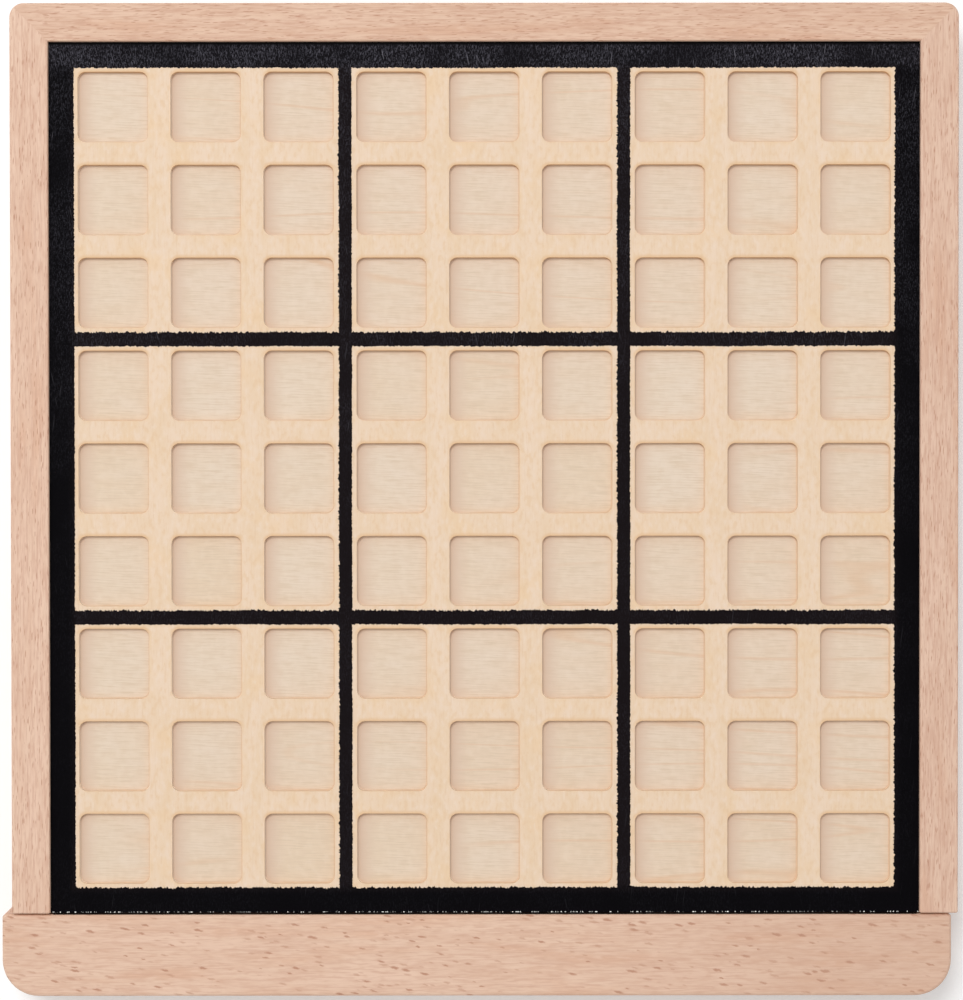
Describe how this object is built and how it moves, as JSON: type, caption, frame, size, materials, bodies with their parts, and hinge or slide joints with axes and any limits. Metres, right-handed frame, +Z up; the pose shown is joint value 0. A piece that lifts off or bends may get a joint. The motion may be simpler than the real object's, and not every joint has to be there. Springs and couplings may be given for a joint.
{
  "type": "sudoku board",
  "caption": "Square wooden sudoku board with round-cornered milled pockets for number tiles, printed block lines, a mitred frame and a shallow drawer for the tiles that slides out at the front.",
  "frame": {"origin": "under the middle of the milled board, on the surface that the base rests on", "axes": "+Z up out of the pockets, +Y away from the player, to the back rail, +X to the player's right"},
  "size_m": [0.2933, 0.3043, 0.03],
  "materials": {
    "beech_rail": "pale pinkish beech, sanded, clear matt lacquer",
    "beech_front": "pale pinkish beech with brown ray flecks, clear matt lacquer",
    "birch_ply": "birch-faced plywood, sanded, milled pockets",
    "black_print": "black screen-printed paint, satin, ragged at its edges",
    "base_ply": "thin birch plywood, sanded",
    "drawer_wood": "pale solid wood, sanded",
    "divider_ply": "thin birch plywood, sanded",
    "tile_wood": "smooth pale wood with a printed black number",
    "staple_steel": "bright steel wire"
  },
  "bodies": {
    "case": {"side_rail_left": "beech_rail", "side_rail_right": "beech_rail", "back_rail": "beech_rail", "base_panel": "base_ply", "base_staples": "staple_steel", "game_board": "birch_ply", "printed_grid": "black_print"},
    "drawer": {"drawer_front": "beech_front", "drawer_side_left": "drawer_wood", "drawer_side_right": "drawer_wood", "drawer_back": "drawer_wood", "drawer_floor": "base_ply", "divider_across_1": "divider_ply", "divider_across_2": "divider_ply", "divider_along_1": "divider_ply", "divider_along_2": "divider_ply", "tiles_1": "tile_wood", "tiles_2": "tile_wood", "tiles_3": "tile_wood", "tiles_4": "tile_wood", "tiles_5": "tile_wood", "tiles_6": "tile_wood", "tiles_7": "tile_wood", "tiles_8": "tile_wood", "tiles_9": "tile_wood"}
  },
  "joints": [
    {"name": "drawer_slide", "type": "slide", "parent": "case", "child": "drawer", "axis": [0, -1, 0], "range_m": [0, 0.235]}
  ]
}
